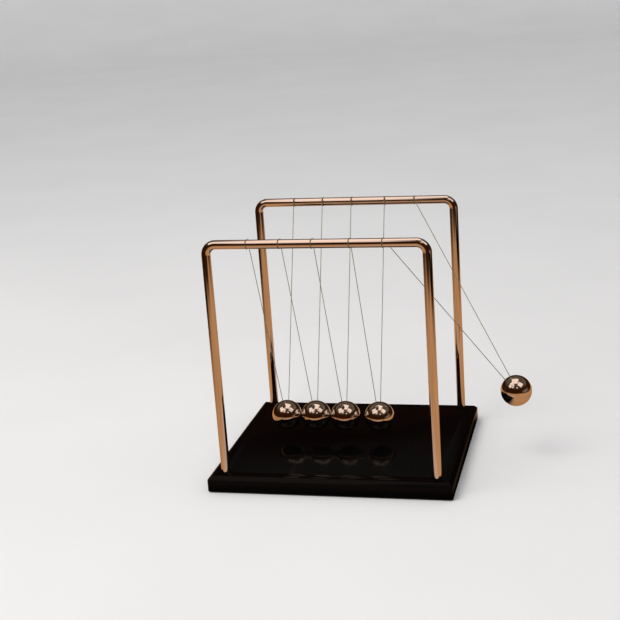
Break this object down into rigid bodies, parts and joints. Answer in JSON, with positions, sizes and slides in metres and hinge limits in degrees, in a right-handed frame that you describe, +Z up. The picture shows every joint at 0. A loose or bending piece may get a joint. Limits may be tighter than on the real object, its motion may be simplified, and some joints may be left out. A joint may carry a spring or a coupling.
{
  "type": "newtons cradle",
  "caption": "Desk newton's cradle: steel balls on V-shaped nylon lines between two bent chrome frames on a black lacquered base, the last ball drawn out.",
  "frame": {"origin": "centre of the base's underside, on the table", "axes": "+Z up, +X along the row of balls towards the drawn-out one, +Y from the front frame to the rear frame"},
  "size_m": [0.2198, 0.152, 0.1795],
  "materials": {
    "lacquer": "black high-gloss lacquer on board",
    "felt": "black felt sheet",
    "frame_chrome": "polished chrome plate",
    "ball_steel": "polished steel",
    "zinc": "zinc plated",
    "nylon": "thin clear nylon line"
  },
  "bodies": {
    "stand": {"base_board": "lacquer", "base_felt": "felt", "front_frame": "frame_chrome", "rear_frame": "frame_chrome", "washer_front_left": "zinc", "washer_front_right": "zinc", "washer_rear_left": "zinc", "washer_rear_right": "zinc", "nut_front_left": "zinc", "nut_front_right": "zinc", "nut_rear_left": "zinc", "nut_rear_right": "zinc", "loop_front_1": "nylon", "loop_front_2": "nylon", "loop_front_3": "nylon", "loop_front_4": "nylon", "loop_front_5": "nylon", "loop_rear_1": "nylon", "loop_rear_2": "nylon", "loop_rear_3": "nylon", "loop_rear_4": "nylon", "loop_rear_5": "nylon"},
    "ball_1": {"ball_1": "ball_steel", "line_1": "nylon"},
    "ball_2": {"ball_2": "ball_steel", "line_2": "nylon"},
    "ball_3": {"ball_3": "ball_steel", "line_3": "nylon"},
    "ball_4": {"ball_4": "ball_steel", "line_4": "nylon"},
    "ball_5": {"ball_5": "ball_steel", "line_5": "nylon"}
  },
  "joints": [
    {"name": "ball_1_swing", "type": "hinge", "parent": "stand", "child": "ball_1", "pos_m": [-0.04575, 0, 0.17742], "axis": [0, -1, 0], "range_deg": [-60, 0.03]},
    {"name": "ball_2_swing", "type": "hinge", "parent": "stand", "child": "ball_2", "pos_m": [-0.02365, 0, 0.17742], "axis": [0, -1, 0], "range_deg": [-0.03, 0.03]},
    {"name": "ball_3_swing", "type": "hinge", "parent": "stand", "child": "ball_3", "pos_m": [-0.00155, 0, 0.17742], "axis": [0, -1, 0], "range_deg": [-0.03, 1.2]},
    {"name": "ball_4_swing", "type": "hinge", "parent": "stand", "child": "ball_4", "pos_m": [0.02365, 0, 0.17742], "axis": [0, -1, 0], "range_deg": [-1.2, 31.5]},
    {"name": "ball_5_swing", "type": "hinge", "parent": "stand", "child": "ball_5", "pos_m": [0.04575, 0, 0.17742], "axis": [0, -1, 0], "range_deg": [-31.5, 28.5]}
  ]
}
